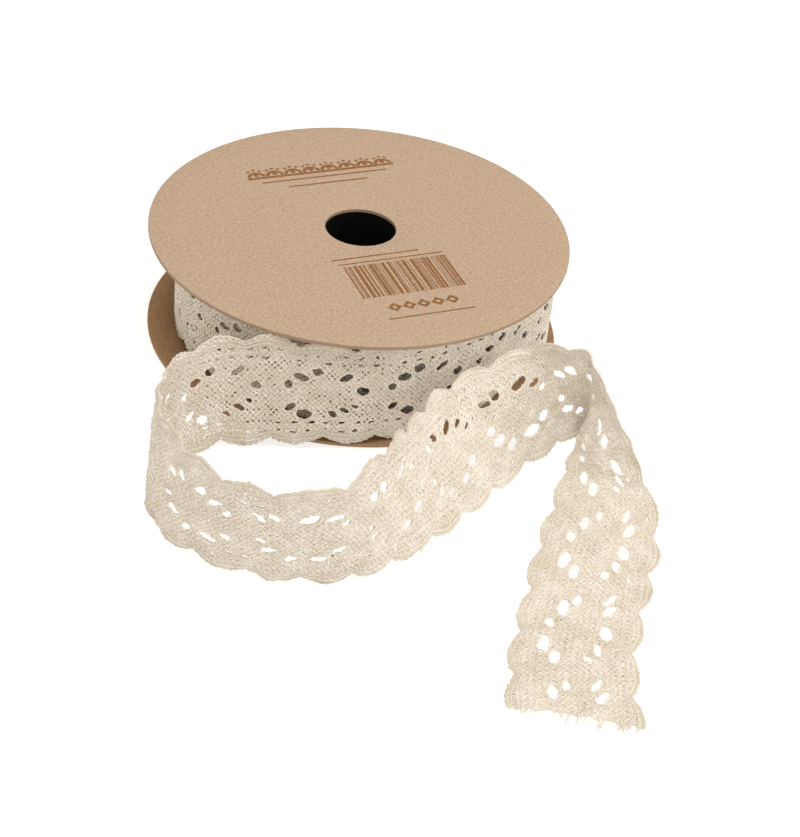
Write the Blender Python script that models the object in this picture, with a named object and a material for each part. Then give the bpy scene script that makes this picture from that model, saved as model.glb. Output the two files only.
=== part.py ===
"""Spool of scalloped cotton lace ribbon: two kraft card discs on a black core, with the lace wound
between them and its loose end standing on its edge in a loop in front of the spool.

Lengths are in millimetres and are turned to metres when a mesh is written. The spool's own axis is
the z axis while the shapes are worked out. The whole part is then moved so that its origin is the
centre of the floor rectangle that it covers.
"""

import math
from collections import namedtuple

import bmesh
import bpy
import numpy as np

MM = 0.001

# Spool: two die-cut card discs, glued to the ends of a core ring
DISC_RADIUS = 40.0
CARD = 0.75
SPOOL_HEIGHT = 22.0
HOLE_RADIUS = 6.75
BORE_RADIUS = 6.9
CORE_RADIUS = 23.5
DISC_SEGMENTS = 72
CORE_SEGMENTS = 48
SEAT_GAP = 0.3

# Lace: the ribbon is 20 mm wide over its scallops, and the two edges' scallops alternate
LACE_THICKNESS = 1.2
SCALLOP = 9.25
SCALLOP_DEPTH = 1.3
STEPS_PER_SCALLOP = 8
STRIPS_ACROSS = 6

# Roll: the last whole turn ends in a step, where the loose ribbon carries on
ROLL_RADIUS = 36.0
TURN = 1.6
STEP_ANGLE = -16.0
STEP_WIDTH = 0.6
ROLL_SECTIONS = 144
ROLL_SCALLOPS = 24
ROLL_BUMP_ANGLE = -8.0
RIM_LOW = 1.8
RIM_HIGH = 20.2
INNER_TURNS_SHORTER = 1.0

# Loose ribbon, where it still lies on the roll
LAY_GAP = 0.35
WRAP_ANGLES = (-17.0, -25.0, -33.0, -41.0, -49.0)
LACE_AT_WRAP_END = -48.5

# Where the spool's axis stands, seen from the part's origin
AXIS_X = -7.89
AXIS_Y = 31.97

# Sections of the loose ribbon. lace is the running length of lace, skew how far its top edge runs
# ahead of its bottom edge. foot is the bottom edge, head the top edge, which on the flat tail is
# the right-hand one. arch is how far the middle stands out from the line between the two.
Section = namedtuple("Section", "lace skew foot_x foot_y foot_z head_x head_y head_z arch")
SECTIONS = [
    # off the roll, in front of the spool
    Section(-37.0, 0.0, 14.0, -34.6, 1.8, 13.8, -34.2, 20.2, 0.0),
    Section(-27.0, 0.0, 5.0, -38.9, 1.8, 4.8, -37.8, 20.2, 0.0),
    Section(-17.5, 0.0, -4.5, -40.7, 1.8, -4.8, -38.7, 20.2, 0.2),
    Section(-8.5, 0.0, -13.5, -41.5, 1.1, -14.2, -37.6, 20.1, 0.3),
    # round the left end of the loop
    Section(0.0, 0.0, -21.5, -42.8, 0.7, -23.0, -38.8, 19.5, 0.3),
    Section(9.0, 0.0, -28.3, -48.0, 0.7, -29.2, -45.7, 19.5, 0.3),
    Section(18.0, 0.0, -32.0, -56.5, 0.7, -31.0, -55.5, 19.2, 0.3),
    Section(26.5, 0.0, -30.3, -65.0, 0.7, -28.0, -63.3, 18.6, 0.3),
    Section(35.0, 0.0, -24.3, -71.5, 0.7, -23.0, -70.3, 18.5, 0.3),
    # front of the loop
    Section(44.0, 0.0, -15.8, -75.6, 0.7, -16.2, -76.0, 18.6, 0.3),
    Section(54.0, 0.0, -6.0, -77.0, 0.7, -6.4, -78.2, 19.0, 0.3),
    Section(62.0, -4.0, 3.0, -75.4, 0.7, 1.4, -75.3, 19.4, 0.3),
    # leaning back on the way to the crease
    Section(70.5, -7.0, 9.8, -70.8, 0.7, 6.0, -67.0, 18.9, 0.3),
    Section(78.5, -8.0, 16.0, -64.6, 0.7, 9.2, -58.8, 17.3, 0.3),
    Section(88.0, -7.0, 21.4, -57.6, 0.7, 12.3, -51.0, 16.0, 0.3),
    Section(98.5, -8.0, 27.5, -49.0, 0.7, 16.4, -41.0, 14.5, 0.3),
    Section(107.5, -6.0, 32.6, -41.7, 0.7, 23.2, -35.0, 16.0, 0.3),
    Section(115.5, -4.0, 37.5, -36.0, 0.7, 31.0, -30.8, 17.8, 0.3),
    Section(124.0, -1.0, 41.5, -31.5, 0.7, 37.5, -30.0, 18.8, 0.0),
    # the crease, and down from it
    Section(128.5, 0.0, 44.3, -28.8, 0.7, 42.2, -31.6, 19.0, 0.0),
    Section(131.5, 1.0, 45.4, -30.2, 0.7, 44.2, -34.5, 18.2, 0.0),
    Section(137.0, 4.0, 43.5, -33.5, 2.0, 46.2, -40.3, 15.6, 2.5),
    Section(143.5, 6.0, 41.8, -38.5, 2.6, 50.0, -45.0, 9.8, 5.0),
    Section(152.5, 5.0, 39.6, -46.0, 1.5, 54.6, -50.0, 2.4, 3.5),
    # the tail, flat on the floor
    Section(161.5, 4.0, 37.0, -56.0, 0.7, 55.0, -60.5, 0.7, 1.5),
    Section(171.0, 4.0, 34.3, -67.0, 0.7, 53.0, -70.5, 0.7, 0.7),
    Section(181.0, 4.0, 32.1, -78.5, 0.7, 50.5, -81.0, 0.7, 0.3),
    Section(191.0, 4.0, 29.9, -89.5, 0.7, 48.8, -91.5, 0.7, 0.3),
    Section(203.0, 4.0, 29.3, -101.7, 0.7, 48.7, -104.0, 0.7, 0.3),
]


def linear_colour(code):
    """Linear colour with full alpha from a six-digit sRGB code."""
    parts = [int(code[i:i + 2], 16) / 255 for i in (0, 2, 4)]
    return [p / 12.92 if p <= 0.04045 else ((p + 0.055) / 1.055) ** 2.4 for p in parts] + [1.0]


def plain_material(name, code, roughness):
    material = bpy.data.materials.new(name)
    material.use_nodes = True
    shader = material.node_tree.nodes["Principled BSDF"]
    shader.inputs["Base Color"].default_value = linear_colour(code)
    shader.inputs["Roughness"].default_value = roughness
    return material


def add_piece(name, bm, material):
    """Object from a mesh in millimetres about the spool's axis."""
    for vert in bm.verts:
        vert.co.x += AXIS_X
        vert.co.y += AXIS_Y
        vert.co *= MM
    mesh = bpy.data.meshes.new(name)
    bm.to_mesh(mesh)
    bm.free()
    mesh.materials.append(material)
    piece = bpy.data.objects.new(name, mesh)
    bpy.context.scene.collection.objects.link(piece)
    return piece


def swept_ring(profiles, angles):
    """Closed ring from one (radius, height) profile at each angle in degrees."""
    bm = bmesh.new()
    rows = []
    for profile, angle in zip(profiles, angles):
        c = math.cos(math.radians(angle))
        s = math.sin(math.radians(angle))
        rows.append([bm.verts.new((r * c, r * s, z)) for r, z in profile])
    for row, following in zip(rows, rows[1:] + rows[:1]):
        for i in range(len(row)):
            j = (i + 1) % len(row)
            bm.faces.new((row[i], row[j], following[j], following[i]))
    bmesh.ops.recalc_face_normals(bm, faces=bm.faces[:])
    return bm


def flat_ring(inner, outer, low, high, segments):
    profile = [(inner, low), (outer, low), (outer, high), (inner, high)]
    angles = [360 * i / segments for i in range(segments)]
    return swept_ring([profile] * segments, angles)


def scallop_edge(phase):
    """How far a scalloped edge stands out of its mean line; phase counts whole scallops."""
    bump = abs(math.cos(math.pi * phase)) ** 0.8
    return SCALLOP_DEPTH * (bump - 0.5)


def roll_radius(angle):
    """Radius of the roll's outermost turn, which grows clockwise from the step."""
    return ROLL_RADIUS - TURN + TURN * ((STEP_ANGLE - angle) % 360) / 360


def wound_roll():
    """Roll of the wound turns, whose outermost turn shows its scalloped rims."""
    span = 360 - STEP_WIDTH
    angles = [STEP_ANGLE + STEP_WIDTH + span * i / (ROLL_SECTIONS - 1) for i in range(ROLL_SECTIONS)]
    profiles = []
    for angle in angles:
        outer = roll_radius(angle)
        inner = outer - LACE_THICKNESS
        phase = (angle - ROLL_BUMP_ANGLE) * ROLL_SCALLOPS / 360
        top = RIM_HIGH + scallop_edge(phase)
        bottom = RIM_LOW - scallop_edge(phase + 0.5)
        turn_top = RIM_HIGH - INNER_TURNS_SHORTER
        turn_bottom = RIM_LOW + INNER_TURNS_SHORTER
        profiles.append([
            (CORE_RADIUS + SEAT_GAP, turn_bottom),
            (inner, turn_bottom),
            (inner, bottom),
            (outer, bottom),
            (outer, top),
            (inner, top),
            (inner, turn_top),
            (CORE_RADIUS + SEAT_GAP, turn_top),
        ])
    return swept_ring(profiles, angles)


def wrapped_sections():
    """Sections of the loose ribbon's start, which still lies on the roll."""
    middle = LAY_GAP + LACE_THICKNESS / 2
    rows = []
    for angle in WRAP_ANGLES:
        r = roll_radius(angle) + middle
        x = r * math.cos(math.radians(angle))
        y = r * math.sin(math.radians(angle))
        lace = LACE_AT_WRAP_END - r * math.radians(angle - WRAP_ANGLES[-1])
        rows.append(Section(lace, 0.0, x, y, RIM_LOW, x, y, RIM_HIGH, 0.0))
    return rows


class Route:
    """Smooth way of the ribbon through its sections, found from lace run and place across."""

    def __init__(self, sections):
        self.rows = np.array(sections)
        middle = (self.rows[:, 2:5] + self.rows[:, 5:8]) / 2
        steps = np.sqrt(np.linalg.norm(np.diff(middle, axis=0), axis=1))
        self.knots = np.concatenate([[0.0], np.cumsum(steps)])
        gap = np.diff(self.knots)[:, None]
        slope = np.diff(self.rows, axis=0) / gap
        inner = (slope[:-1] * gap[1:] + slope[1:] * gap[:-1]) / (gap[:-1] + gap[1:])
        self.tangents = np.vstack([slope[:1], inner, slope[-1:]])
        self.fine = np.linspace(0.0, self.knots[-1], 3000)
        self.runs = self.row(self.fine)[:, :2]

    def row(self, knot):
        """Interpolated section values at places along the knots."""
        knot = np.atleast_1d(knot)
        i = np.clip(np.searchsorted(self.knots, knot, side="right") - 1, 0, len(self.knots) - 2)
        h = (self.knots[i + 1] - self.knots[i])[:, None]
        u = (knot - self.knots[i])[:, None] / h
        start = self.rows[i] * (1 + 2 * u) + self.tangents[i] * h * u
        end = self.rows[i + 1] * (3 - 2 * u) - self.tangents[i + 1] * h * (1 - u)
        return start * (1 - u) ** 2 + end * u ** 2

    def surface(self, knot, across):
        """Point on the plain sheet; across is -1 at the bottom edge and 1 at the top edge."""
        row = self.row(knot)[0]
        foot = row[2:5]
        head = row[5:8]
        return (foot + head) / 2 + (head - foot) / 2 * across

    def place(self, run, across, lift):
        """Point above the sheet by lift, on the side that faces the front of the loop."""
        local_runs = self.runs[:, 0] + self.runs[:, 1] * across / 2
        knot = np.interp(run, local_runs, self.fine)
        step = 0.02
        ahead = self.surface(min(knot + step, self.knots[-1]), across)
        behind = self.surface(max(knot - step, 0.0), across)
        side = self.surface(knot, 1.0) - self.surface(knot, -1.0)
        normal = np.cross(ahead - behind, side)
        normal /= np.linalg.norm(normal)
        arch = self.row(knot)[0, 8] * max(0.0, 1 - across ** 2)
        return self.surface(knot, across) + normal * (arch + lift)


def loose_ribbon():
    """Flat blank with scalloped edges, laid along its route vertex by vertex."""
    sections = wrapped_sections() + SECTIONS
    route = Route(sections)
    first = sections[0]
    last = sections[-1]
    half_width = (RIM_HIGH - RIM_LOW) / 2
    columns = round((last.lace - first.lace) / SCALLOP * STEPS_PER_SCALLOP)
    bm = bmesh.new()
    bmesh.ops.create_grid(bm, x_segments=columns, y_segments=STRIPS_ACROSS, size=1.0)
    bmesh.ops.solidify(bm, geom=bm.faces[:], thickness=LACE_THICKNESS)
    bmesh.ops.recalc_face_normals(bm, faces=bm.faces[:])
    layers = [vert.co.z for vert in bm.verts]
    middle_layer = (min(layers) + max(layers)) / 2
    for vert in bm.verts:
        across = vert.co.y
        cut_end = last.lace + last.skew * across / 2
        run = first.lace + (cut_end - first.lace) * (vert.co.x + 1) / 2
        if across > 0.99:
            across += scallop_edge(run / SCALLOP) / half_width
        if across < -0.99:
            across -= scallop_edge(run / SCALLOP + 0.5) / half_width
        place = route.place(run, across, vert.co.z - middle_layer)
        vert.co = (place[0], place[1], max(place[2], 0.0))
    return bm


for stale in list(bpy.data.objects):
    bpy.data.objects.remove(stale, do_unlink=True)

kraft = plain_material("kraft_card", "C4A98D", 0.85)
kraft_under = plain_material("kraft_card_bottom", "BFA284", 0.85)
black_card = plain_material("black_core_card", "1E1B19", 0.9)
wound_lace = plain_material("wound_lace", "DCCFB9", 0.95)
loose_lace = plain_material("loose_lace", "EADFCD", 0.95)

add_piece(
    "bottom_disc",
    flat_ring(HOLE_RADIUS, DISC_RADIUS, 0.0, CARD, DISC_SEGMENTS),
    kraft_under,
)
add_piece(
    "top_disc",
    flat_ring(HOLE_RADIUS, DISC_RADIUS, SPOOL_HEIGHT - CARD, SPOOL_HEIGHT, DISC_SEGMENTS),
    kraft,
)
add_piece(
    "core",
    flat_ring(
        BORE_RADIUS,
        CORE_RADIUS,
        CARD + SEAT_GAP,
        SPOOL_HEIGHT - CARD - SEAT_GAP,
        CORE_SEGMENTS,
    ),
    black_card,
)
add_piece("wound_roll", wound_roll(), wound_lace)
add_piece("loose_ribbon", loose_ribbon(), loose_lace)
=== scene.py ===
"""Looks of a spool of ivory cotton lace ribbon: two kraft card discs on a black core, the wound
lace between them, and the loose end that stands in a loop in front of the spool and lies down flat.

Sizes are in millimetres about the spool's own axis, and are turned to metres about the part's
origin when a mesh is written.
"""

import math
import random
from collections import namedtuple

import bmesh
import bpy
import numpy as np
from mathutils import Matrix, Vector


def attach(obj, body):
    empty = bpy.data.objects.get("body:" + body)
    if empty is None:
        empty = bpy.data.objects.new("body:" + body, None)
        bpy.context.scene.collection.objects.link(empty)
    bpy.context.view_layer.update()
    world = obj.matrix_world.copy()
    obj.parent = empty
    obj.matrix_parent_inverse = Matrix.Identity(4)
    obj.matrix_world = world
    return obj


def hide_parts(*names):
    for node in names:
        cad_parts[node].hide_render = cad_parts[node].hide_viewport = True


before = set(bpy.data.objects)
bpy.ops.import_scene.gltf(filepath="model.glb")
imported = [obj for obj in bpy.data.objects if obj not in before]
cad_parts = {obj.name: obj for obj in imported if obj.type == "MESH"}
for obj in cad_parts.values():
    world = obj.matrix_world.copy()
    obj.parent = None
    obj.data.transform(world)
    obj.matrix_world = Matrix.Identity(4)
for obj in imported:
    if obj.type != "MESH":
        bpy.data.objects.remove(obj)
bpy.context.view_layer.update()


# Camera: a short telephoto view from in front and above, turned a little clockwise, as a small
# product is photographed on a table.
MM = 0.001
AXIS = Vector((-7.89, 31.97, 0.0))
IMAGE_HEIGHT = 837
FOCAL_PIXELS = 1793.4
CAMERA_PLACE = Vector((0.0, -295.07, 196.23))
CAMERA_TURN = (53.332, -5.155, 1.597)

camera_data = bpy.data.cameras.new("camera")
camera_data.sensor_fit = "VERTICAL"
camera_data.sensor_height = 36.0
camera_data.lens = FOCAL_PIXELS / IMAGE_HEIGHT * camera_data.sensor_height
camera_data.clip_start = 0.01
camera = bpy.data.objects.new("camera", camera_data)
camera.location = (AXIS + CAMERA_PLACE) * MM
camera.rotation_euler = [math.radians(a) for a in CAMERA_TURN]
bpy.context.scene.collection.objects.link(camera)
bpy.context.scene.camera = camera


# Card discs: die-cut from unbleached kraft board. The pulp gives the eye a warm brown with short
# paler and darker fibres, and the knife leaves a paler, layered edge that is rounded a little.
DISC_RADIUS = 40.0
CARD = 0.75
HOLE_RADIUS = 6.75
SPOOL_HEIGHT = 22.0
CARD_EDGE_ROUND = 0.14
DISC_SEGMENTS = 160


def linear(code):
    """Linear colour with full alpha from a six-digit sRGB code."""
    parts = [int(code[i:i + 2], 16) / 255 for i in (0, 2, 4)]
    return [p / 12.92 if p <= 0.04045 else ((p + 0.055) / 1.055) ** 2.4 for p in parts] + [1.0]


def add_node(tree, kind, settings, links):
    """Node with its settings, by attribute or by input name or number, and its incoming links."""
    node = tree.nodes.new(kind)
    for name, value in settings.items():
        if isinstance(name, str) and hasattr(node, name):
            setattr(node, name, value)
        else:
            node.inputs[name].default_value = value
    for name, source in links.items():
        tree.links.new(source, node.inputs[name])
    return node


def new_material(name, settings):
    """Material with a Principled shader that has these values, with its tree and its shader."""
    material = bpy.data.materials.new(name)
    material.use_nodes = True
    shader = material.node_tree.nodes["Principled BSDF"]
    for socket, value in settings.items():
        shader.inputs[socket].default_value = value
    return material, material.node_tree, shader


def add_piece(name, bm, material):
    """Object from a mesh in millimetres about the spool's axis."""
    bmesh.ops.translate(bm, vec=AXIS, verts=bm.verts)
    bmesh.ops.scale(bm, vec=(MM, MM, MM), verts=bm.verts)
    mesh = bpy.data.meshes.new(name)
    bm.to_mesh(mesh)
    bm.free()
    mesh.materials.append(material)
    piece = bpy.data.objects.new(name, mesh)
    bpy.context.scene.collection.objects.link(piece)
    return piece


def card_material(name, light_code, dark_code, edge_code):
    """Kraft board: mottled pulp with fine fibres on its faces, pale layers on its cut edge."""
    material, tree, shader = new_material(name, {"Roughness": 0.88, "IOR": 1.45})
    place = add_node(tree, "ShaderNodeTexCoord", {}, {})
    # pulp flecks from about 0.5 mm down
    clouds = add_node(tree, "ShaderNodeTexNoise",
                      {"Scale": 1900.0, "Detail": 6.0, "Roughness": 0.8},
                      {"Vector": place.outputs["Object"]})
    # fibres about 0.2 mm wide and 0.7 mm long, lying two ways
    fibres = []
    for stretch in ((1500.0, 5200.0, 1500.0), (5200.0, 1500.0, 1500.0)):
        along = add_node(tree, "ShaderNodeMapping", {"Scale": stretch},
                         {"Vector": place.outputs["Object"]})
        fibres.append(add_node(tree, "ShaderNodeTexNoise", {"Scale": 1.0, "Detail": 3.0},
                               {"Vector": along.outputs["Vector"]}))
    mixed = add_node(tree, "ShaderNodeMath", {"operation": "ADD"},
                     {0: clouds.outputs["Fac"], 1: fibres[0].outputs["Fac"]})
    total = add_node(tree, "ShaderNodeMath", {"operation": "ADD"},
                     {0: mixed.outputs["Value"], 1: fibres[1].outputs["Fac"]})
    tone = add_node(tree, "ShaderNodeMapRange", {"From Min": 1.25, "From Max": 1.75},
                    {"Value": total.outputs["Value"]})
    face = add_node(tree, "ShaderNodeMix",
                    {"data_type": "RGBA", 6: linear(dark_code), 7: linear(light_code)},
                    {0: tone.outputs["Result"]})
    # layers of the board, 0.12 mm thick, on faces that stand upright
    layers = add_node(tree, "ShaderNodeTexWave",
                      {"bands_direction": "Z", "Scale": 1300.0, "Distortion": 1.5, "Detail": 2.0},
                      {"Vector": place.outputs["Object"]})
    edge = add_node(tree, "ShaderNodeMix",
                    {"data_type": "RGBA", 6: linear(edge_code), 7: linear(dark_code)},
                    {0: layers.outputs["Fac"]})
    shape = add_node(tree, "ShaderNodeNewGeometry", {}, {})
    split = add_node(tree, "ShaderNodeSeparateXYZ", {}, {"Vector": shape.outputs["True Normal"]})
    upright = add_node(tree, "ShaderNodeMath", {"operation": "ABSOLUTE"}, {0: split.outputs["Z"]})
    faced = add_node(tree, "ShaderNodeMapRange", {"From Min": 0.5, "From Max": 0.9},
                     {"Value": upright.outputs["Value"]})
    colour = add_node(tree, "ShaderNodeMix", {"data_type": "RGBA"},
                      {0: faced.outputs["Result"], 6: edge.outputs[2], 7: face.outputs[2]})
    bump = add_node(tree, "ShaderNodeBump", {"Strength": 0.25, "Distance": 0.00008},
                    {"Height": total.outputs["Value"]})
    tree.links.new(colour.outputs[2], shader.inputs["Base Color"])
    tree.links.new(bump.outputs["Normal"], shader.inputs["Normal"])
    return material


def card_disc(name, low, material):
    """Disc with a centre hole, knife-cut: its four rims are rounded by the press."""
    bm = bmesh.new()
    bmesh.ops.create_circle(bm, cap_ends=False, radius=HOLE_RADIUS, segments=DISC_SEGMENTS)
    inner = bm.edges[:]
    grown = bmesh.ops.extrude_edge_only(bm, edges=inner)
    ring = [v for v in grown["geom"] if isinstance(v, bmesh.types.BMVert)]
    grow = DISC_RADIUS / HOLE_RADIUS
    bmesh.ops.scale(bm, vec=(grow, grow, 1.0), verts=ring)
    spokes = [e for e in bm.edges if e.calc_length() > DISC_RADIUS / 2]
    bmesh.ops.subdivide_edges(bm, edges=spokes, cuts=5)
    bmesh.ops.translate(bm, vec=(0.0, 0.0, low), verts=bm.verts)
    bmesh.ops.recalc_face_normals(bm, faces=bm.faces[:])
    raised = bmesh.ops.extrude_face_region(bm, geom=bm.faces[:], use_keep_orig=True)
    lifted = [v for v in raised["geom"] if isinstance(v, bmesh.types.BMVert)]
    bmesh.ops.translate(bm, vec=(0.0, 0.0, CARD), verts=lifted)
    bmesh.ops.recalc_face_normals(bm, faces=bm.faces[:])
    rims = [e for e in bm.edges if e.calc_face_angle(0.0) > 1.0]
    bmesh.ops.bevel(bm, geom=rims, offset=CARD_EDGE_ROUND, segments=3, affect="EDGES",
                    profile=0.5, material=-1)
    piece = add_piece(name, bm, material)
    piece.data.shade_smooth()
    piece.data.set_sharp_from_angle(angle=math.radians(50))
    return piece


top_card = card_material("kraft board face", "CAB29A", "A68E78", "9C876E")
# the bottom disc's card is coloured darker than the top disc's, as painted shade under the top disc
bottom_card = card_material("kraft board with painted shade", "B08F6A", "8A6B4D", "A88F6E")
top_disc = card_disc("card_disc_top", SPOOL_HEIGHT - CARD, top_card)
bottom_disc = card_disc("card_disc_bottom", 0.0, bottom_card)
for disc, node in ((top_disc, "top_disc"), (bottom_disc, "bottom_disc")):
    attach(disc, "root")
    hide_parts(node)


# Print: plain ornaments in one brown ink, flexo-printed on the top disc before it is cut, so that
# the card's fibres show through a little. Places are about the disc's centre, before the turn.
PRINT_TURN = math.radians(23.3)
INK_FILM = 0.02
EDGING_LEFT = -13.3
EDGING_STEP = 3.8
EDGING_FOOT = 22.5
STRIPES_LEFT = -8.3
STRIPES_RIGHT = 11.8
STRIPES_TOP = -12.9
STRIPES_FOOT = -23.6
STRIPE_WIDTHS = (0.17, 0.17, 0.34, 0.34, 0.5, 0.68)
STRIPE_GAPS = (0.17, 0.17, 0.34, 0.34, 0.5)
LEAST_STRIPE = 0.2
LOZENGES_LEFT = -3.8
LOZENGES_STEP = 2.8
LOZENGES_MIDDLE = -27.4
# Thin rules: left, right, foot and top
RULES = (
    (-15.3, 15.3, 21.6, 22.35),
    (-13.0, 13.0, 19.8, 20.25),
    (-8.3, 8.3, 17.3, 17.75),
    (-9.6, 7.7, -10.4, -10.0),
    (-8.9, 11.8, -12.1, -11.75),
    (-6.2, 10.4, -31.0, -30.65),
)

ink = bmesh.new()


def ink_block(left, right, foot, top):
    """Printed rectangle, square to the print."""
    made = bmesh.ops.create_grid(ink, x_segments=1, y_segments=1, size=0.5)
    bmesh.ops.scale(ink, vec=(right - left, top - foot, 1.0), verts=made["verts"])
    bmesh.ops.translate(ink, vec=((left + right) / 2, (foot + top) / 2, 0.0), verts=made["verts"])


def ink_arc(x, y, inner, outer, start, sweep, steps):
    """Printed arc or ring about a point, from and over angles in degrees."""
    a = math.radians(start)
    ends = [ink.verts.new((x + r * math.cos(a), y + r * math.sin(a), 0.0)) for r in (inner, outer)]
    line = ink.edges.new(ends)
    bmesh.ops.spin(ink, geom=ends + [line], cent=(x, y, 0.0), axis=(0, 0, 1), dvec=(0, 0, 0),
                   angle=math.radians(sweep), steps=steps, use_merge=sweep >= 360)


# a scalloped edging, with a dot in each scallop and three over it
for i in range(8):
    middle = EDGING_LEFT + EDGING_STEP * i
    ink_arc(middle, EDGING_FOOT, 1.15, 1.85, 0, 180, 20)
    ink_arc(middle, EDGING_FOOT + 0.65, 0.12, 0.55, 0, 360, 16)
    for lean in (-1.15, 0.0, 1.15):
        ink_arc(middle + lean, EDGING_FOOT + 2.65 - 0.4 * abs(lean), 0.08, 0.36, 0, 360, 12)
# a block of stripes with uneven widths, which stand for nothing
uneven = random.Random(41)
stripe = STRIPES_LEFT
while stripe < STRIPES_RIGHT - LEAST_STRIPE:
    width = uneven.choice(STRIPE_WIDTHS)
    ink_block(stripe, min(stripe + width, STRIPES_RIGHT), STRIPES_FOOT, STRIPES_TOP)
    stripe += width + uneven.choice(STRIPE_GAPS)
for i in range(5):
    ink_arc(LOZENGES_LEFT + LOZENGES_STEP * i, LOZENGES_MIDDLE, 0.55, 1.35, 0, 360, 4)
for rule in RULES:
    ink_block(*rule)
bmesh.ops.rotate(ink, cent=(0, 0, 0), matrix=Matrix.Rotation(PRINT_TURN, 3, "Z"), verts=ink.verts)
bmesh.ops.translate(ink, vec=(0.0, 0.0, SPOOL_HEIGHT), verts=ink.verts)
bmesh.ops.recalc_face_normals(ink, faces=ink.faces[:])
raised_ink = bmesh.ops.extrude_face_region(ink, geom=ink.faces[:], use_keep_orig=True)
bmesh.ops.translate(ink, vec=(0.0, 0.0, INK_FILM),
                    verts=[v for v in raised_ink["geom"] if isinstance(v, bmesh.types.BMVert)])
bmesh.ops.recalc_face_normals(ink, faces=ink.faces[:])
brown_ink, ink_tree, ink_shader = new_material("brown printing ink",
                                               {"Roughness": 0.8, "IOR": 1.45})
# ink that soaks in unevenly, from about 0.5 mm down
ink_place = add_node(ink_tree, "ShaderNodeTexCoord", {}, {})
ink_wear = add_node(ink_tree, "ShaderNodeTexNoise", {"Scale": 1900.0, "Detail": 4.0},
                    {"Vector": ink_place.outputs["Object"]})
ink_thin = add_node(ink_tree, "ShaderNodeMapRange", {"From Min": 0.35, "From Max": 0.75},
                    {"Value": ink_wear.outputs["Fac"]})
ink_tone = add_node(ink_tree, "ShaderNodeMix",
                    {"data_type": "RGBA", 6: linear("7C4E24"), 7: linear("A2764A")},
                    {0: ink_thin.outputs["Result"]})
ink_tree.links.new(ink_tone.outputs[2], ink_shader.inputs["Base Color"])
disc_print = add_piece("disc_print", ink, brown_ink)
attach(disc_print, "root")


# Core: a ring of card that the discs are glued to, coloured near black. Its bore is all that shows,
# through the hole, as a matt near-black wall with a grain of about 1 mm.
black_card, black_tree, black_shader = new_material(
    "matt black core card", {"Roughness": 0.95, "Specular IOR Level": 0.15}
)
black_place = add_node(black_tree, "ShaderNodeTexCoord", {}, {})
black_grain = add_node(black_tree, "ShaderNodeTexNoise", {"Scale": 900.0, "Detail": 4.0},
                       {"Vector": black_place.outputs["Object"]})
black_tone = add_node(black_tree, "ShaderNodeMix",
                      {"data_type": "RGBA", 6: linear("030303"), 7: linear("080706")},
                      {0: black_grain.outputs["Fac"]})
black_tree.links.new(black_tone.outputs[2], black_shader.inputs["Base Color"])
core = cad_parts["core"]
for core_slot in core.material_slots:
    core_slot.material = black_card


# Lace: cotton bobbin lace 20 mm wide, worked in repeats of 18.5 mm. Its plain ground runs on the
# cross and parts round ten holes in a ring, two rows of short slots follow each side, and each edge
# is a row of round scallops, worked in arcs. The two edges' scallops alternate.
REPEAT = 18.5
SCALLOP = REPEAT / 2
SCALLOP_DEPTH = 1.6
COLUMN = REPEAT / 36
HALF_WIDTH = 9.2
GROUND_ROWS = 30
GROUND_EDGE = GROUND_ROWS / 2 * COLUMN
CLOTH_THICKNESS = 0.2
GAP = 0.25
# Lines of each edge, by their mean distance from the middle. The scallops bend what lies further
# out than the first number, and the more the further out.
BEND_FROM = 6.6
EDGE = 9.25
CLOTH_LEVELS = (8.2, 8.7, EDGE)
ARC_LEVELS = (6.68, 8.0, 8.65)
WORKER_LEVELS = (GROUND_EDGE - 0.1, 7.95, 8.45, 9.05)

# Places along the lace: the join of the last turn and the loose end, how far the two parts' threads
# overlap there, the cut end, how far past it threads are worked, where the roll's pull ends, and
# the crease
JOIN_RUN = -134 * COLUMN
JOIN_LAP = 0.6
TURN_COLUMNS = 418
LOOSE_COLUMNS = 529
LACE_END = JOIN_RUN + LOOSE_COLUMNS * COLUMN
FRAY = 3.0
LAST_TAUT_RUN = 3.0
CREASE_RUN = 136.0
CREASE_REACH = 9.0
CRUMPLE = 0.2
CRUMPLE_EASE = 12.0
# Slots, up to 2.2 mm long. The rows: across, half width, and the share that stands open in taut
# and in loose lace
SLOT_STEP = 2.7
SLOT_HALF_LENGTHS = (0.7, 1.1)
SLOT_ROWS = (
    (11.5 * COLUMN, 0.25, 0.9, 0.3),
    (14.5 * COLUMN, 0.20, 0.8, 0.15),
)

Hole = namedtuple("Hole", "along across half_length half_width turn")
# The ring of holes where the lace is pulled taut round the roll and the loop's far side
TAUT_RING = [
    Hole(-6.7, 0.8, 1.20, 0.95, 0),
    Hole(-3.5, 3.5, 1.40, 0.65, -25),
    Hole(1.3, 4.1, 1.25, 1.00, 0),
    Hole(4.4, 3.0, 1.45, 0.85, 5),
    Hole(6.5, 1.1, 0.80, 0.85, 0),
    Hole(-5.4, -2.2, 0.85, 0.60, 20),
    Hole(-3.7, -3.3, 1.10, 0.60, 15),
    Hole(-1.3, -4.3, 1.10, 0.70, 35),
    Hole(3.5, -4.3, 1.50, 1.05, 10),
    Hole(5.9, -3.0, 1.10, 0.75, -25),
]
# The same ring where the lace hangs loose
LOOSE_RING = [
    Hole(-7.0, 3.7, 1.60, 0.65, -25),
    Hole(-4.5, 4.3, 1.40, 0.75, -35),
    Hole(0.5, 4.3, 1.60, 0.95, 20),
    Hole(3.8, 3.4, 1.50, 0.60, 10),
    Hole(6.0, 2.2, 1.00, 0.60, 20),
    Hole(-6.8, -1.2, 1.00, 0.60, 0),
    Hole(-5.2, -3.3, 1.50, 0.75, 0),
    Hole(-2.2, -4.8, 1.15, 0.75, 20),
    Hole(2.6, -4.7, 1.70, 0.80, 0),
    Hole(5.6, -3.0, 1.50, 0.80, 0),
]
# From this ring on, the lace was handled more and its holes are stretched wider
FIRST_WIDE_RING = 6
WIDE = 1.22
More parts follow.
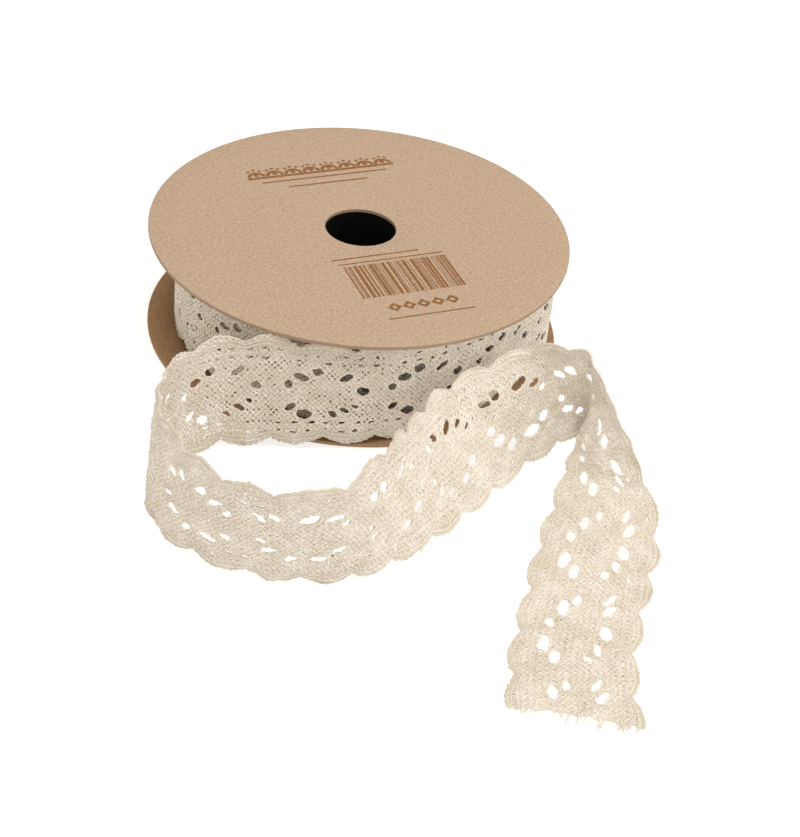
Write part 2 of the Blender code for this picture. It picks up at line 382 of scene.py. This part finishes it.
# How far past its own ends a part of the lace heeds holes, and how far from the cut none is made
HOLE_REACH = 10.0
WHOLE_END = 2.0


def scallop_edge(phase):
    """How far a scalloped edge stands out of its mean line; phase counts whole scallops."""
    bump = np.abs(np.cos(np.pi * phase)) ** 0.8
    return SCALLOP_DEPTH * (bump - 0.5)


def bend_to_scallops(run, across):
    """Moves the lines of each edge out and in with its scallops, by how far out they lie."""
    out = np.clip((np.abs(across) - BEND_FROM) / (EDGE - BEND_FROM), 0.0, 1.3)
    phase = run / SCALLOP + np.where(across < 0, 0.5, 0.0)
    # the crease pulls the top edge nearly straight
    taut = np.where(across > 0, 0.85 * np.exp(-((run - CREASE_RUN) / CREASE_REACH) ** 4), 0.0)
    return across + np.sign(across) * out * (1 - taut) * scallop_edge(phase)


def ring_holes(first_run, last_run):
    """Every hole between two runs, as rows of along, across, half length, half width and turn."""
    rows = []
    for ring in range(math.floor(first_run / REPEAT), math.ceil(last_run / REPEAT) + 1):
        uneven = random.Random(1000 + ring)
        for hole in TAUT_RING if ring * REPEAT < LAST_TAUT_RUN else LOOSE_RING:
            along = ring * REPEAT + hole.along + uneven.uniform(-0.25, 0.25)
            across = hole.across + uneven.uniform(-0.2, 0.2)
            grown = uneven.uniform(0.9, 1.1) * (WIDE if ring >= FIRST_WIDE_RING else 1.0)
            rows.append((along, across, hole.half_length * grown, hole.half_width * grown,
                         math.radians(hole.turn + uneven.uniform(-8, 8))))
    for place in range(math.floor(first_run / SLOT_STEP), math.ceil(last_run / SLOT_STEP) + 1):
        uneven = random.Random(5000 + place)
        for across, half_width, taut_share, loose_share in SLOT_ROWS:
            for side in (-1, 1):
                along = (place + uneven.uniform(-0.12, 0.12)) * SLOT_STEP
                half_length = uneven.uniform(*SLOT_HALF_LENGTHS)
                share = taut_share if along < LAST_TAUT_RUN else loose_share
                if uneven.random() < share:
                    rows.append((along, side * across, half_length, half_width, 0.0))
    return np.array([row for row in rows if first_run < row[0] < last_run])


# The way that the lace takes: round the roll, off it, round the loop, over the crease and along
# the floor. Angles are in degrees about the spool's axis, and the roll grows by one step a turn.
ROLL_RADIUS = 36.0
TURN_STEP = 1.6
HALF_LACE = 0.6
LAY_GAP = 0.35
STEP_ANGLE = -16.0
JOIN_ANGLE = -16.1
WRAP_ANGLES = (JOIN_ANGLE, -24.0, -32.0, -41.0, -49.0)
LACE_AT_WRAP_END = -48.5
RIM_LOW = 1.8
RIM_HIGH = 20.2
# The last turn has sprung loose at the right
SLACK = 2.6
SLACK_ANGLE = -6.0
SLACK_SPREAD = 17.0

# lace is the running length, skew how far the top edge runs ahead of the bottom edge, foot the
# bottom edge, head the top edge and arch how far the middle stands out between them
Section = namedtuple("Section", "lace skew foot_x foot_y foot_z head_x head_y head_z arch")
SECTIONS = [
    Section(-37.0, 0.0, 14.0, -34.6, 1.8, 13.8, -34.2, 20.2, 0.0),
    Section(-27.0, 0.0, 5.0, -38.9, 1.8, 4.8, -37.8, 20.2, 0.0),
    Section(-17.5, 0.0, -4.5, -40.7, 1.8, -4.8, -38.7, 20.2, 0.2),
    Section(-8.5, 0.0, -13.5, -41.5, 1.1, -14.2, -37.6, 20.1, 0.3),
    Section(0.0, 0.0, -21.5, -42.8, 0.7, -23.0, -38.8, 19.5, 0.3),
    Section(9.0, 0.0, -28.3, -48.0, 0.7, -29.2, -45.7, 19.5, 0.3),
    Section(18.0, 0.0, -32.0, -56.5, 0.7, -31.0, -55.5, 19.2, 0.3),
    Section(26.5, 0.0, -30.3, -65.0, 0.7, -28.0, -63.3, 18.6, 0.3),
    Section(35.0, 0.0, -24.3, -71.5, 0.7, -23.0, -70.3, 18.5, 0.3),
    Section(44.0, 0.0, -15.8, -75.6, 0.7, -16.2, -76.0, 18.6, 0.3),
    Section(54.0, 0.0, -6.0, -77.0, 0.7, -6.4, -78.2, 19.0, 0.3),
    Section(62.0, -4.0, 3.0, -75.4, 0.7, 1.4, -75.3, 19.4, 0.3),
    Section(70.5, -7.0, 9.8, -70.8, 0.7, 6.0, -67.0, 18.9, 0.3),
    Section(78.5, -8.0, 16.0, -64.6, 0.7, 9.2, -58.8, 17.3, 0.3),
    Section(88.0, -7.0, 21.4, -57.6, 0.7, 12.3, -51.0, 16.0, 0.3),
    Section(98.5, -8.0, 27.5, -49.0, 0.7, 16.4, -41.0, 14.5, 0.3),
    Section(107.5, -6.0, 32.6, -41.7, 0.7, 23.2, -35.0, 16.0, 0.3),
    Section(115.5, -4.0, 37.5, -36.0, 0.7, 31.0, -30.8, 17.8, 0.3),
    Section(124.0, -1.0, 41.5, -31.5, 0.7, 37.5, -30.0, 18.8, 0.0),
    Section(128.5, 0.0, 44.3, -28.8, 0.7, 42.2, -31.6, 19.0, 0.0),
    Section(131.5, 1.0, 45.4, -30.2, 0.7, 43.3, -34.3, 18.2, 0.0),
    Section(137.0, 4.0, 43.5, -33.5, 2.0, 46.2, -40.3, 15.6, 1.2),
    Section(143.5, 6.0, 41.8, -38.5, 2.6, 50.0, -45.0, 9.8, 2.4),
    Section(152.5, 5.0, 39.6, -46.0, 1.5, 54.6, -50.0, 2.4, 1.8),
    Section(161.5, 4.0, 37.0, -56.0, 0.7, 55.0, -60.5, 0.7, 1.5),
    Section(171.0, 4.0, 34.3, -67.0, 0.7, 53.0, -70.5, 0.7, 0.7),
    Section(181.0, 4.0, 32.1, -78.5, 0.7, 50.5, -81.0, 0.7, 0.3),
    Section(191.0, 4.0, 29.9, -89.5, 0.7, 48.8, -91.5, 0.7, 0.3),
    Section(203.0, 4.0, 29.3, -101.7, 0.7, 48.7, -104.0, 0.7, 0.3),
    Section(209.0, 4.0, 29.0, -107.8, 0.7, 48.6, -110.2, 0.7, 0.3),
]


def slack_at(angle):
    """How far the last turn stands off the roll at an angle, where it has sprung loose."""
    away = (angle - SLACK_ANGLE + 180) % 360 - 180
    return SLACK * np.exp(-(away / SLACK_SPREAD) ** 2)


def wrapped_sections():
    """Sections of the loose end's start, which still lies on the roll."""
    rows = []
    for angle in WRAP_ANGLES:
        turned = ((STEP_ANGLE - angle) % 360) / 360
        r = ROLL_RADIUS - TURN_STEP + TURN_STEP * turned + LAY_GAP + HALF_LACE
        x = (r + slack_at(angle)) * math.cos(math.radians(angle))
        y = (r + slack_at(angle)) * math.sin(math.radians(angle))
        lace = LACE_AT_WRAP_END - r * math.radians(angle - WRAP_ANGLES[-1])
        rows.append(Section(lace, 0.0, x, y, RIM_LOW, x, y, RIM_HIGH, 0.0))
    return rows


rows = np.array(wrapped_sections() + SECTIONS)
middles = (rows[:, 2:5] + rows[:, 5:8]) / 2
chords = np.linalg.norm(np.diff(middles, axis=0), axis=1)
knots = np.concatenate([[0.0], np.cumsum(np.sqrt(chords))])
gaps = np.diff(knots)[:, None]
slopes = np.diff(rows, axis=0) / gaps
inner_slopes = (slopes[:-1] * gaps[1:] + slopes[1:] * gaps[:-1]) / (gaps[:-1] + gaps[1:])
tangents = np.vstack([slopes[:1], inner_slopes, slopes[-1:]])


def section_at(knot):
    """Smoothly interpolated section values at places along the way."""
    i = np.clip(np.searchsorted(knots, knot, side="right") - 1, 0, len(knots) - 2)
    h = gaps[i]
    u = (knot - knots[i])[:, None] / h
    start = rows[i] * (1 + 2 * u) + tangents[i] * h * u
    end = rows[i + 1] * (3 - 2 * u) - tangents[i + 1] * h * (1 - u)
    return start * (1 - u) ** 2 + end * u ** 2


fine_knots = np.linspace(0.0, knots[-1], 4000)
fine_lace, fine_skew = section_at(fine_knots)[:, :2].T
turn_angles = np.linspace(0.0, 2 * math.pi, 2000)
turn_runs = JOIN_RUN - (
    (ROLL_RADIUS - HALF_LACE) * turn_angles - TURN_STEP * turn_angles ** 2 / (4 * math.pi)
)


def plain_point(knot, v):
    """Points of the plain sheet between foot (v = -1) and head (v = 1)."""
    row = section_at(knot)
    foot = row[:, 2:5]
    head = row[:, 5:8]
    return (foot + head) / 2 + (head - foot) / 2 * v[:, None]


def crumple(run, across):
    """How far handled lace stands off its smooth way, in waves of about 4 to 8 mm."""
    folds = np.sin(0.9 * run + 1.5 * np.sin(0.35 * across))
    waves = folds * np.sin(0.62 * across - 0.25 * run + 0.8)
    waves += 0.6 * np.sin(1.7 * run - 0.8 * across) * np.sin(1.1 * across + 0.3 * run)
    return CRUMPLE * waves * np.clip((run - LAST_TAUT_RUN) / CRUMPLE_EASE, 0.0, 1.0)


def place_on_way(flat):
    """Places of flat lace points, given as run, across and lift, in space."""
    run, across, lift = np.asarray(flat, dtype=float).T
    v = across / HALF_WIDTH
    knot = np.interp(run, fine_lace, fine_knots)
    for _ in range(4):
        lead = np.interp(knot, fine_knots, fine_skew) * v / 2
        knot = np.interp(run - lead, fine_lace, fine_knots)
    ahead = plain_point(np.minimum(knot + 0.02, knots[-1]), v)
    behind = plain_point(np.maximum(knot - 0.02, 0.0), v)
    row = section_at(knot)
    normal = np.cross(ahead - behind, row[:, 5:8] - row[:, 2:5])
    normal /= np.linalg.norm(normal, axis=1)[:, None]
    arch = row[:, 8] * np.maximum(0.0, 1 - v ** 2) + crumple(run, across)
    loose = plain_point(knot, v) + normal * (arch + lift)[:, None]
    phi = np.interp(-run, -turn_runs, turn_angles)
    angle = math.radians(JOIN_ANGLE) + phi
    # the lace's right side faces the roll where it is wound
    r = ROLL_RADIUS - HALF_LACE - TURN_STEP * phi / (2 * math.pi) - lift
    r += slack_at(np.degrees(angle))
    mid_height = (RIM_LOW + RIM_HIGH) / 2
    wound = np.stack([r * np.cos(angle), r * np.sin(angle), mid_height + across], axis=1)
    return np.where((run < JOIN_RUN)[:, None], wound, loose)


def cut_line(across):
    """Run at which the scissors and the fraying end the lace."""
    slanted = LACE_END + 2.0 * across / HALF_WIDTH
    return slanted + 0.25 * np.sin(2.1 * across + 0.7) + 0.15 * np.sin(5.3 * across)


def lace_cloth(name, first_run, columns, open_share, material):
    """Thin worked cloth of the lace with its holes, slots and gaps, laid along its way."""
    ground = list(np.linspace(-GROUND_EDGE, GROUND_EDGE, GROUND_ROWS + 1))
    levels = [-a for a in reversed(CLOTH_LEVELS)] + ground + list(CLOTH_LEVELS)
    last_run = first_run + columns * COLUMN
    bm = bmesh.new()
    bmesh.ops.create_grid(bm, x_segments=columns, y_segments=len(levels) - 1, size=1.0)
    for vert in bm.verts:
        level = round((vert.co.y + 1) / 2 * (len(levels) - 1))
        vert.co.x = first_run + (vert.co.x + 1) / 2 * columns * COLUMN
        vert.co.y = levels[level]
    # gaps of the open ground, at every second crossing at most
    uneven = random.Random(3000 + columns)
    slack = []
    for vert in bm.verts:
        crossed = round(vert.co.x / COLUMN) + round(vert.co.y / COLUMN)
        inner = abs(vert.co.y) < GROUND_EDGE - 0.1 and not vert.is_boundary
        if inner and crossed % 2 == 1 and uneven.random() < open_share:
            slack.append(vert)
    gaps_there = bmesh.ops.bevel(bm, geom=slack, offset=GAP, segments=1, affect="VERTICES",
                                 profile=0.5, material=-1)
    bmesh.ops.delete(bm, geom=gaps_there["faces"], context="FACES_ONLY")
    holes = ring_holes(first_run - HOLE_REACH, min(last_run + HOLE_REACH, LACE_END - WHOLE_END))
    centres = np.array([face.calc_center_median()[:2] for face in bm.faces])
    cut = np.zeros(len(centres), dtype=bool)
    for along, across, half_length, half_width, turn in holes:
        away = centres - (along, across)
        lengthwise = away @ (math.cos(turn), math.sin(turn)) / half_length
        crosswise = away @ (-math.sin(turn), math.cos(turn)) / half_width
        cut |= lengthwise ** 2 + crosswise ** 2 < 1.0
    bm.faces.ensure_lookup_table()
    bmesh.ops.delete(bm, geom=[bm.faces[i] for i in np.flatnonzero(cut)], context="FACES")
    # rims of the holes are drawn to smooth ovals, and the part's own ends stay straight
    rim = [vert for vert in bm.verts if vert.is_boundary and abs(vert.co.y) < EDGE - 0.1
           and first_run + 0.1 < vert.co.x < last_run - 0.1]
    spots = np.array([vert.co[:2] for vert in rim])
    for along, across, half_length, half_width, turn in holes:
        away = spots - (along, across)
        lengthwise = away @ (math.cos(turn), math.sin(turn)) / half_length
        crosswise = away @ (-math.sin(turn), math.cos(turn)) / half_width
        reach = np.sqrt(lengthwise ** 2 + crosswise ** 2)
        for i in np.flatnonzero(reach < 1.7):
            vert = rim[i]
            if vert.tag:
                continue
            vert.tag = True
            vert.co.x = along + away[i, 0] / reach[i]
            vert.co.y = across + away[i, 1] / reach[i]
    flat = np.array([vert.co[:] for vert in bm.verts])
    # the last 8 mm are drawn out to the uneven cut
    near_end = np.clip((flat[:, 0] - LACE_END) / 8.0 + 1.0, 0.0, 1.0)
    flat[:, 0] += near_end * (cut_line(flat[:, 1]) - LACE_END)
    flat[:, 1] = bend_to_scallops(flat[:, 0], flat[:, 1])
    for vert, (x, y, _) in zip(bm.verts, flat):
        vert.co.x = x
        vert.co.y = y
    flat_area = sum(face.calc_area() for face in bm.faces)
    bmesh.ops.translate(bm, vec=(0.0, 0.0, -CLOTH_THICKNESS / 2), verts=bm.verts)
    raised = bmesh.ops.extrude_face_region(bm, geom=bm.faces[:], use_keep_orig=True)
    bmesh.ops.translate(bm, vec=(0.0, 0.0, CLOTH_THICKNESS),
                        verts=[v for v in raised["geom"] if isinstance(v, bmesh.types.BMVert)])
    bmesh.ops.recalc_face_normals(bm, faces=bm.faces[:])
    thick = np.array([vert.co[:] for vert in bm.verts])
    for vert, spot in zip(bm.verts, place_on_way(thick)):
        vert.co = spot
    piece = add_piece(name, bm, material)
    piece.data.shade_smooth()
    piece.data.set_sharp_from_angle(angle=math.radians(60))
    return piece, flat_area * MM * MM


THREAD_RADIUS = 0.2
RIM_RADIUS = 0.24
WORKER_RADIUS = 0.18
# How far a ground thread rises and dips at a crossing
LIFT = 0.17
# How far along a hole, in its own reach, a thread bows aside, and how far it keeps off the rim
BOW = 1.35
RIM_ROOM = 1.12
# How far along the lace from its own middle a thread on the cross may meet a hole
THREAD_REACH = 10.5
FRAYED_ENDS = 26
Thread = namedtuple("Thread", "run across lift width")


def part_round_holes(run, across, direction, offset, holes):
    """Bows a straight thread sideways, so that it passes each hole on the side that it lies on."""
    side = np.array((-direction[1], direction[0]))
    near = []
    moved = np.zeros_like(run)
    for along, over, half_length, half_width, turn in holes:
        long_way = np.array((math.cos(turn), math.sin(turn))) / half_length
        short_way = np.array((-math.sin(turn), math.cos(turn))) / half_width
        ways = np.array((long_way, short_way))
        steep = (ways @ direction) @ (ways @ direction)
        mixed = (ways @ direction) @ (ways @ side)
        flat = (ways @ side) @ (ways @ side)
        reach = math.sqrt(flat / (steep * flat - mixed ** 2))
        widest = 1 / math.sqrt(flat)
        straight = (offset - (along, over)) @ side
        if abs(straight) > 3.0 * widest + abs(mixed / flat) * reach + 0.3:
            continue
        hand = 1.0 if straight >= 0 else -1.0
        t = (run - along) * direction[0] + (across - over) * direction[1]
        bow = np.maximum(0.0, 1 - (t / (BOW * reach)) ** 2)
        middle = -mixed / flat * t * np.sqrt(bow) - straight
        beside = np.maximum(0.0, -hand * middle)
        moved += hand * (np.sqrt(beside ** 2 + (0.8 * widest * bow) ** 2) - beside)
        round_rim = np.sqrt(np.maximum(0.0, 1 - (t / (RIM_ROOM * reach)) ** 2))
        near.append((hand, np.abs(t) < RIM_ROOM * reach, middle + hand * widest * round_rim))
    for _ in range(2):
        for hand, level_with, rim in near:
            moved = np.where(level_with & (hand * (moved - rim) < 0), rim, moved)
    return run + side[0] * moved, across + side[1] * moved


def slubs(uneven, count):
    """Relative width of a carded thread along its length."""
    swell = 0.15 * np.sin(np.arange(count) * uneven.uniform(0.5, 0.9))
    return 1 + swell + uneven.normal(0, 0.11, count)


def ground_threads(first_run, last_run, slant, holes):
    """Threads of the ground that run one way on the cross, over and under those of the other."""
    step = 2 * COLUMN
    uneven = np.random.default_rng(7 if slant > 0 else 8)
    direction = np.array((math.sqrt(0.5), slant * math.sqrt(0.5)))
    threads = []
    for number in range(math.floor(first_run / step) - 9, math.ceil(last_run / step) + 10):
        k = np.arange(0, 2 * GROUND_ROWS + 1) / 2
        across = -GROUND_EDGE + k * COLUMN
        run = number * step + slant * across
        lift = slant * LIFT * np.cos(np.pi * k) + uneven.normal(0, 0.02, len(k))
        sway = 0.14 * np.sin(k * uneven.uniform(0.3, 0.7) + uneven.uniform(0, 6.28))
        sway += uneven.normal(0, 0.055, len(k))
        near = holes[np.abs(holes[:, 0] - number * step) < THREAD_REACH]
        offset = np.array((number * step, 0.0))
        bowed, over = part_round_holes(run + sway, across, direction, offset, near)
        inside = (bowed > first_run) & (bowed < np.minimum(last_run, cut_line(over)))
        width = slubs(uneven, len(k))
        if inside.sum() > 3:
            over = bend_to_scallops(bowed, over)
            threads.append(Thread(bowed[inside], over[inside], lift[inside], width[inside]))
    return threads


def edge_threads(first_run, last_run):
    """Threads that run lengthwise in arcs, on both faces of each edge."""
    arcs = []
    for side in (-1, 1):
        for level in ARC_LEVELS:
            for face in (-1, 1):
                run = np.arange(first_run, last_run, COLUMN)
                uneven = np.random.default_rng(int(level * 100) + 10 * side + face)
                sway = 0.06 * np.sin(run * uneven.uniform(1.1, 1.6))
                sway += uneven.normal(0, 0.06, len(run))
                run = run[run < cut_line(side * level)]
                across = bend_to_scallops(run, side * level + sway[:len(run)])
                lift = face * (0.04 + 0.11 * np.cos(np.pi * np.arange(len(run))))
                arcs.append(Thread(run, across, lift, slubs(uneven, len(run))))
    return arcs


def rim_threads(first_run, last_run):
    """The thread that rounds off each scallop, knotted to the others at every second column."""
    rims = []
    for side in (-1, 1):
        run = np.arange(first_run, last_run, COLUMN)
        run = run[run < cut_line(side * EDGE)]
        uneven = np.random.default_rng(60 + side)
        knots_there = 0.05 * (-1.0) ** np.arange(len(run)) + uneven.normal(0, 0.05, len(run))
        across = bend_to_scallops(run, side * (EDGE - 0.05 + knots_there))
        rims.append(Thread(run, across, uneven.normal(0, 0.05, len(run)), 1 + 2.2 * knots_there))
    return rims


def worker_threads(first_run, last_run):
    """Threads worked to and fro across each edge, and the frayed ends at the cut."""
    workers = []
    for side in (-1, 1):
        uneven = np.random.default_rng(80 + side)
        passes = int((last_run - first_run) / COLUMN)
        i, j = np.divmod(np.arange(passes * 4), 4)
        level = np.array(WORKER_LEVELS)[np.where(i % 2 == 0, j, 3 - j)]
        run = first_run + (i + j / 4) * COLUMN + uneven.normal(0, 0.06, len(i))
        inside = run < cut_line(side * level)
        across = bend_to_scallops(run, side * level)
        lift = 0.26 * (-1.0) ** (i + j)
        width = slubs(uneven, len(i))
        workers.append(Thread(run[inside], across[inside], lift[inside], width[inside]))
    if last_run > LACE_END:
        uneven = np.random.default_rng(90)
        for _ in range(FRAYED_ENDS):
            start = uneven.uniform(-9.0, 9.2) if uneven.random() < 0.6 else uneven.uniform(6.5, 9.2)
            ahead = np.linspace(0.0, uneven.uniform(0.5, 2.0), 5)
            across = start + uneven.uniform(-0.6, 0.6) * ahead ** 2 / 2 + 0.1 * np.sin(3 * ahead)
            run = cut_line(start) - 0.4 + ahead
            lift = uneven.uniform(-0.2, 0.2) * ahead
            workers.append(Thread(run, across, lift, np.linspace(1.1, 0.7, 5)))
    return workers


def thread_piece(name, threads, radius, material):
    """One curve object for like threads, each a four-sided tube that is shaded round."""
    curve = bpy.data.curves.new(name, "CURVE")
    curve.dimensions = "3D"
    curve.bevel_depth = radius * MM
    curve.bevel_resolution = 0
    curve.fill_mode = "FULL"
    curve.use_fill_caps = True
    for thread in threads:
        spots = place_on_way(np.stack([thread.run, thread.across, thread.lift], axis=1))
        spots = (spots + np.array(AXIS)) * MM
        spline = curve.splines.new("POLY")
        spline.points.add(len(spots) - 1)
        spline.points.foreach_set("co", np.hstack([spots, np.ones((len(spots), 1))]).ravel())
        spline.points.foreach_set("radius", thread.width)
        spline.use_smooth = True
    curve.materials.append(material)
    piece = bpy.data.objects.new(name, curve)
    bpy.context.scene.collection.objects.link(piece)
    return piece


def cotton_material(name, light_code, dark_code, translucent, unshaded_codes=None):
    """Carded cotton: a matt ivory that is fluffy, so that it scatters and sheens a little.

    The last two codes are unshaded colours by the join; away from it the others are painted shade.
    """
    material, tree, shader = new_material(
        name,
        {"Roughness": 0.95, "IOR": 1.45, "Sheen Weight": 0.15, "Sheen Roughness": 0.5,
         "Subsurface Weight": translucent, "Subsurface Radius": (0.0012, 0.001, 0.0008),
         "Subsurface Scale": 1.0},
    )
    place = add_node(tree, "ShaderNodeTexCoord", {}, {})
    # blotches about 4 mm across, and fluff of about 0.4 mm
    blotch = add_node(tree, "ShaderNodeTexNoise", {"Scale": 260.0, "Detail": 3.0},
                      {"Vector": place.outputs["Object"]})
    fluff = add_node(tree, "ShaderNodeTexNoise", {"Scale": 2600.0, "Detail": 3.0},
                     {"Vector": place.outputs["Object"]})
    both = add_node(tree, "ShaderNodeMath", {"operation": "ADD"},
                    {0: blotch.outputs["Fac"], 1: fluff.outputs["Fac"]})
    tone = add_node(tree, "ShaderNodeMapRange", {"From Min": 0.75, "From Max": 1.25},
                    {"Value": both.outputs["Value"]})
    colour = add_node(tree, "ShaderNodeMix",
                      {"data_type": "RGBA", 6: linear(dark_code), 7: linear(light_code)},
                      {0: tone.outputs["Result"]})
    if unshaded_codes:
        # painted shade: from the unshaded colours to the others between 14 and 55 mm from the join
        unshaded_light, unshaded_dark = unshaded_codes
        unshaded_colour = add_node(tree, "ShaderNodeMix",
                         {"data_type": "RGBA", 6: linear(unshaded_dark), 7: linear(unshaded_light)},
                         {0: tone.outputs["Result"]})
        away = add_node(tree, "ShaderNodeVectorMath", {"operation": "DISTANCE", 1: JOIN_PLACE},
                        {0: place.outputs["Object"]})
        painted_shade_share = add_node(tree, "ShaderNodeMapRange", {"From Min": 0.014, "From Max": 0.055},
                        {"Value": away.outputs["Value"]})
        colour = add_node(tree, "ShaderNodeMix", {"data_type": "RGBA"},
                          {0: painted_shade_share.outputs["Result"], 6: unshaded_colour.outputs[2], 7: colour.outputs[2]})
    bump = add_node(tree, "ShaderNodeBump", {"Strength": 0.4, "Distance": 0.00006},
                    {"Height": fluff.outputs["Fac"]})
    tree.links.new(colour.outputs[2], shader.inputs["Base Color"])
    tree.links.new(bump.outputs["Normal"], shader.inputs["Normal"])
    return material


# Where the turn and the loose end join, in metres
join_turn = Matrix.Rotation(math.radians(JOIN_ANGLE), 3, "Z")
JOIN_PLACE = (AXIS + join_turn @ Vector((ROLL_RADIUS, 0.0, SPOOL_HEIGHT / 2))) * MM

thread_cotton = cotton_material("ivory cotton thread", "F2ECE2", "DFD5C4", 0.1)
# the ground cloth is coloured darker than the threads, as painted shade between them, and the wound
# turn's ground darker still, as painted shade of the roll away from the join
ground_cottons = {
    "loose": cotton_material("ivory cotton ground with painted shade", "E1D8C9", "CFC4B2", 0.1),
    "turn": cotton_material("shaded cotton ground", "D2C6AF", "AEA087", 0.1, ("E1D8C9", "CFC4B2")),
}

lace_parts = {}
for part, first, columns, open_share in (
    ("loose", JOIN_RUN, LOOSE_COLUMNS, 0.35),
    ("turn", JOIN_RUN - TURN_COLUMNS * COLUMN, TURN_COLUMNS, 0.5),
):
    last = first + columns * COLUMN
    holes = ring_holes(first - HOLE_REACH, last + HOLE_REACH)
    # the threads run on a little over the join, and as far as the cut lets them at the end
    ends = (first - JOIN_LAP, last + FRAY) if part == "loose" else (first, last + JOIN_LAP)
    ground = ground_cottons[part]
    cloth, cloth_area = lace_cloth("lace_cloth_" + part, first, columns, open_share, ground)
    kinds = (
        ("ground_threads_right_", ground_threads(*ends, 1, holes), THREAD_RADIUS, thread_cotton),
        ("ground_threads_left_", ground_threads(*ends, -1, holes), THREAD_RADIUS, thread_cotton),
        ("edge_threads_", edge_threads(*ends), THREAD_RADIUS, thread_cotton),
        # the rim threads take the darker ground cotton, as painted shade where the edges catch the
        # light
        ("rim_threads_", rim_threads(*ends), RIM_RADIUS, ground),
        ("worker_threads_", worker_threads(*ends), WORKER_RADIUS, thread_cotton),
    )
    threads = [thread_piece(name + part, *rest) for name, *rest in kinds]
    lace_parts[part] = (cloth, threads, cloth_area, columns * COLUMN)

for part, node, held, slot, rest in (
    ("loose", "loose_ribbon", "laid", "loose_lace", ["bottom_disc"]),
    ("turn", "wound_roll", "stretched", "wound_lace", ["wound_roll"]),
):
    cloth, threads, cloth_area, length = lace_parts[part]
    for piece in [cloth] + threads:
        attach(piece, "root")
        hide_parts(node)


# Inner turns: the rest of the two metres of lace, wound tight under the last turn. Only their
# cloth shows, coloured darker as painted shade, through the last turn's holes, and their edges
# between the discs.
CORE_RADIUS = 23.5
INNER_RADIUS = 33.2
INNER_START = CORE_RADIUS + 0.3
INNER_FOOT = 2.3
INNER_GROOVE = 2.9
INNER_ROUND = 0.3
INNER_SLACK_SHARE = 0.8
TURNS = 6

turned = bmesh.new()
profile = [turned.verts.new((INNER_START, 0.0, INNER_GROOVE))]
for i in range(TURNS):
    left = INNER_START + (INNER_RADIUS - INNER_START) * i / TURNS
    right = INNER_START + (INNER_RADIUS - INNER_START) * (i + 1) / TURNS
    profile.append(turned.verts.new((left + INNER_ROUND, 0.0, INNER_FOOT)))
    profile.append(turned.verts.new((right - INNER_ROUND, 0.0, INNER_FOOT)))
    profile.append(turned.verts.new((right, 0.0, INNER_GROOVE)))
for vert in list(reversed(profile)):
    profile.append(turned.verts.new((vert.co.x, 0.0, SPOOL_HEIGHT - vert.co.z)))
outline = [turned.edges.new((a, b)) for a, b in zip(profile, profile[1:] + profile[:1])]
bmesh.ops.spin(turned, geom=profile + outline, cent=(0, 0, 0), axis=(0, 0, 1), dvec=(0, 0, 0),
               angle=2 * math.pi, steps=96, use_merge=True)
bmesh.ops.remove_doubles(turned, verts=turned.verts, dist=0.001)
# they follow the last turn's step and slack, the outermost one the most
for vert in turned.verts:
    radius = math.hypot(vert.co.x, vert.co.y)
    angle = math.degrees(math.atan2(vert.co.y, vert.co.x))
    gone = (angle - JOIN_ANGLE) % 360 / 360
    grown = TURN_STEP * (1 - gone) + INNER_SLACK_SHARE * slack_at(angle)
    vert.co.xy *= 1 + grown * (radius - CORE_RADIUS) / (INNER_RADIUS - CORE_RADIUS) / radius
bmesh.ops.recalc_face_normals(turned, faces=turned.faces[:])
inner_cotton = cotton_material("shaded inner cotton", "E6DAC4", "BFB299", 0.0)
inner_turns = add_piece("inner_turns", turned, inner_cotton)
inner_turns.data.shade_smooth()
inner_turns.data.set_sharp_from_angle(angle=math.radians(40))
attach(inner_turns, "root")
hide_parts("wound_roll")


# Floor and light: a white table in a pale warm room with three soft lamps, as small goods are
# photographed. The floor lies just under the part's own base.
FLOOR_HALF = 2.5
FLOOR_HEIGHT = -0.0002
LAMP_AIM = Vector((0.0, 0.0, 0.01))

floor_bm = bmesh.new()
bmesh.ops.create_grid(floor_bm, x_segments=1, y_segments=1, size=FLOOR_HALF)
floor_mesh = bpy.data.meshes.new("floor")
floor_bm.to_mesh(floor_mesh)
floor_bm.free()
floor = bpy.data.objects.new("floor", floor_mesh)
floor.location.z = FLOOR_HEIGHT
bpy.context.scene.collection.objects.link(floor)
white, white_tree, white_shader = new_material(
    "white table",
    {"Base Color": linear("A8A8A8"), "Roughness": 0.9, "Emission Color": linear("FFFEFC"),
     "Emission Strength": 0.75},
)
floor_mesh.materials.append(white)

world = bpy.data.worlds.new("studio")
world.use_nodes = True
world.node_tree.nodes["Background"].inputs["Color"].default_value = linear("FFEFDB")
world.node_tree.nodes["Background"].inputs["Strength"].default_value = 0.4
bpy.context.scene.world = world

for name, place, size, power in (
    ("key_light", (0.02, -0.03, 0.9), 0.6, 4.9),
    ("side_light", (0.82, 0.0, 0.42), 0.4, 2.6),
    ("front_light", (-0.12, -0.90, 0.30), 0.5, 2.15),
):
    lamp = bpy.data.lights.new(name, "AREA")
    lamp.shape = "DISK"
    lamp.size = size
    lamp.energy = power
    lamp.color = (1.0, 0.99, 0.98)
    stand = bpy.data.objects.new(name, lamp)
    stand.location = place
    stand.rotation_euler = (LAMP_AIM - Vector(place)).to_track_quat("-Z", "Y").to_euler()
    bpy.context.scene.collection.objects.link(stand)

bpy.context.scene.view_settings.view_transform = "Standard"
